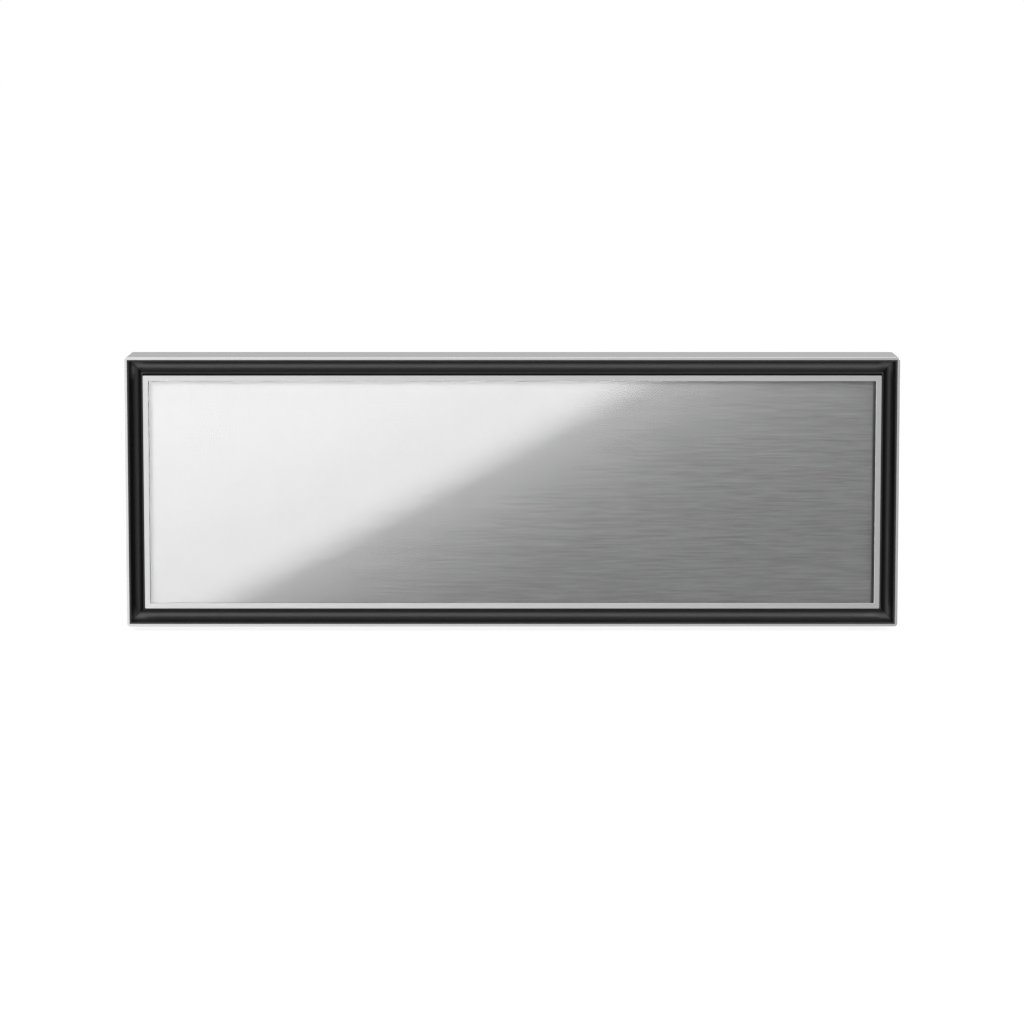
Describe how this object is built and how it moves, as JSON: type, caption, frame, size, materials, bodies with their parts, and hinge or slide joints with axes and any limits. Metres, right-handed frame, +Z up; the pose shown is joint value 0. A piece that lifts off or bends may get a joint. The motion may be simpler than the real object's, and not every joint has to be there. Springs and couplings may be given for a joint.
{
  "type": "warming drawer",
  "caption": "Handleless warming drawer: framed glass front in a grooved surround, pull-out heated tray on ball-bearing rails, fan heater and controls in a sheet-metal casing on feet.",
  "frame": {"origin": "on the ground under the middle of the bounding box", "axes": "+X to the right seen from the front, +Y to the back, +Z up; the drawer opens towards -Y"},
  "size_m": [0.59, 0.5, 0.211],
  "materials": {
    "frame_metal": "satin anodised",
    "liner_black": "satin black",
    "front_glass": "clear polished",
    "front_steel": "brushed along the width",
    "carrier_black": "satin black",
    "tray_steel": "satin",
    "smoked_glass": "dark, polished",
    "mat_grey": "matt, ribbed",
    "galvanised": "galvanised",
    "rail_steel": "bright zinc plated",
    "ball_steel": "polished balls in a pressed cage",
    "screw_steel": "bright",
    "black_screws": "blackened",
    "black_rubber": "matt",
    "seal_rubber": "matt silicone",
    "mineral_wool": "fibrous",
    "panel_foam": "fibrous",
    "black_plastic": "fine grained",
    "grey_plastic": "fine grained",
    "white_plastic": "fine grained",
    "knob_metal": "turned",
    "lamp_amber": "clear coloured",
    "heater_tube": "heat tinted",
    "motor_steel": "satin",
    "board_green": "solder mask",
    "wire_sheath": "sleeved",
    "spring_steel": "bright"
  },
  "bodies": {
    "casing": {"front_frame": "frame_metal", "frame_liner": "liner_black", "frame_spacers": "galvanised", "frame_screws": "black_screws", "front_plate": "carrier_black", "drawer_gasket": "seal_rubber", "rail_screws": "screw_steel", "base_pan": "galvanised", "right_side_panel": "galvanised", "left_side_panel": "galvanised", "top_cover": "galvanised", "rear_panel": "galvanised", "casing_screws": "screw_steel", "feet": "black_rubber", "cavity_sleeve": "tray_steel", "cavity_rear_wall": "tray_steel", "bottom_insulation": "mineral_wool", "side_insulation": "mineral_wool", "top_insulation": "mineral_wool", "fan_duct": "galvanised", "fan_motor": "motor_steel", "heating_element": "heater_tube", "thermal_cutout": "white_plastic", "temperature_sensor": "spring_steel", "control_panel": "black_plastic", "selector_switch": "black_plastic", "pilot_lamp": "lamp_amber", "latch_housing": "grey_plastic", "latch_spring": "spring_steel", "mains_inlet": "black_plastic", "terminal_block": "white_plastic", "power_board": "board_green", "board_standoffs": "white_plastic", "wiring_harness": "wire_sheath", "left_rail_cabinet_member": "rail_steel", "right_rail_cabinet_member": "rail_steel"},
    "drawer": {"front_trim": "frame_metal", "front_glass": "front_glass", "front_backing": "front_steel", "front_carrier": "carrier_black", "front_core": "panel_foam", "front_inner_panel": "tray_steel", "drawer_tray": "tray_steel", "drawer_screws": "screw_steel", "latch_striker": "grey_plastic", "glass_base": "smoked_glass", "base_mat": "mat_grey", "left_rail_drawer_member": "rail_steel", "right_rail_drawer_member": "rail_steel"},
    "temperature_dial": {"temperature_knob": "knob_metal"},
    "fan": {"fan_impeller": "grey_plastic", "fan_shaft": "rail_steel"},
    "touch_latch": {"latch_plunger": "white_plastic"},
    "left_rail_middle": {"left_rail_middle_member": "rail_steel"},
    "left_outer_ball_cage": {"left_outer_ball_cage": "ball_steel"},
    "left_inner_ball_cage": {"left_inner_ball_cage": "ball_steel"},
    "right_rail_middle": {"right_rail_middle_member": "rail_steel"},
    "right_outer_ball_cage": {"right_outer_ball_cage": "ball_steel"},
    "right_inner_ball_cage": {"right_inner_ball_cage": "ball_steel"}
  },
  "joints": [
    {"name": "drawer_slide", "type": "slide", "parent": "casing", "child": "drawer", "axis": [0, -1, 0], "range_m": [-0.002, 0.38]},
    {"name": "left_rail_middle_slide", "type": "slide", "parent": "casing", "child": "left_rail_middle", "axis": [0, -1, 0], "range_m": [-0.001, 0.19]},
    {"name": "left_outer_ball_cage_slide", "type": "slide", "parent": "casing", "child": "left_outer_ball_cage", "axis": [0, -1, 0], "range_m": [-0.0005, 0.095]},
    {"name": "left_inner_ball_cage_slide", "type": "slide", "parent": "casing", "child": "left_inner_ball_cage", "axis": [0, -1, 0], "range_m": [-0.0015, 0.285]},
    {"name": "right_rail_middle_slide", "type": "slide", "parent": "casing", "child": "right_rail_middle", "axis": [0, -1, 0], "range_m": [-0.001, 0.19]},
    {"name": "right_outer_ball_cage_slide", "type": "slide", "parent": "casing", "child": "right_outer_ball_cage", "axis": [0, -1, 0], "range_m": [-0.0005, 0.095]},
    {"name": "right_inner_ball_cage_slide", "type": "slide", "parent": "casing", "child": "right_inner_ball_cage", "axis": [0, -1, 0], "range_m": [-0.0015, 0.285]},
    {"name": "temperature_dial_turn", "type": "hinge", "parent": "casing", "child": "temperature_dial", "pos_m": [0.2595, -0.214, 0.11], "axis": [0, 1, 0], "range_deg": [0, 270]},
    {"name": "fan_spin", "type": "hinge", "parent": "casing", "child": "fan", "pos_m": [0, 0.21, 0.0875], "axis": [0, 1, 0], "continuous": true},
    {"name": "latch_push", "type": "slide", "parent": "casing", "child": "touch_latch", "axis": [0, 1, 0], "range_m": [0, 0.002], "stiffness_N_per_m": 500, "springref_m": -0.004}
  ],
  "couplings": [
    {"joint": "left_rail_middle_slide", "follows": "drawer_slide", "ratio": 0.5},
    {"joint": "left_outer_ball_cage_slide", "follows": "drawer_slide", "ratio": 0.25},
    {"joint": "left_inner_ball_cage_slide", "follows": "drawer_slide", "ratio": 0.75},
    {"joint": "right_rail_middle_slide", "follows": "drawer_slide", "ratio": 0.5},
    {"joint": "right_outer_ball_cage_slide", "follows": "drawer_slide", "ratio": 0.25},
    {"joint": "right_inner_ball_cage_slide", "follows": "drawer_slide", "ratio": 0.75}
  ]
}
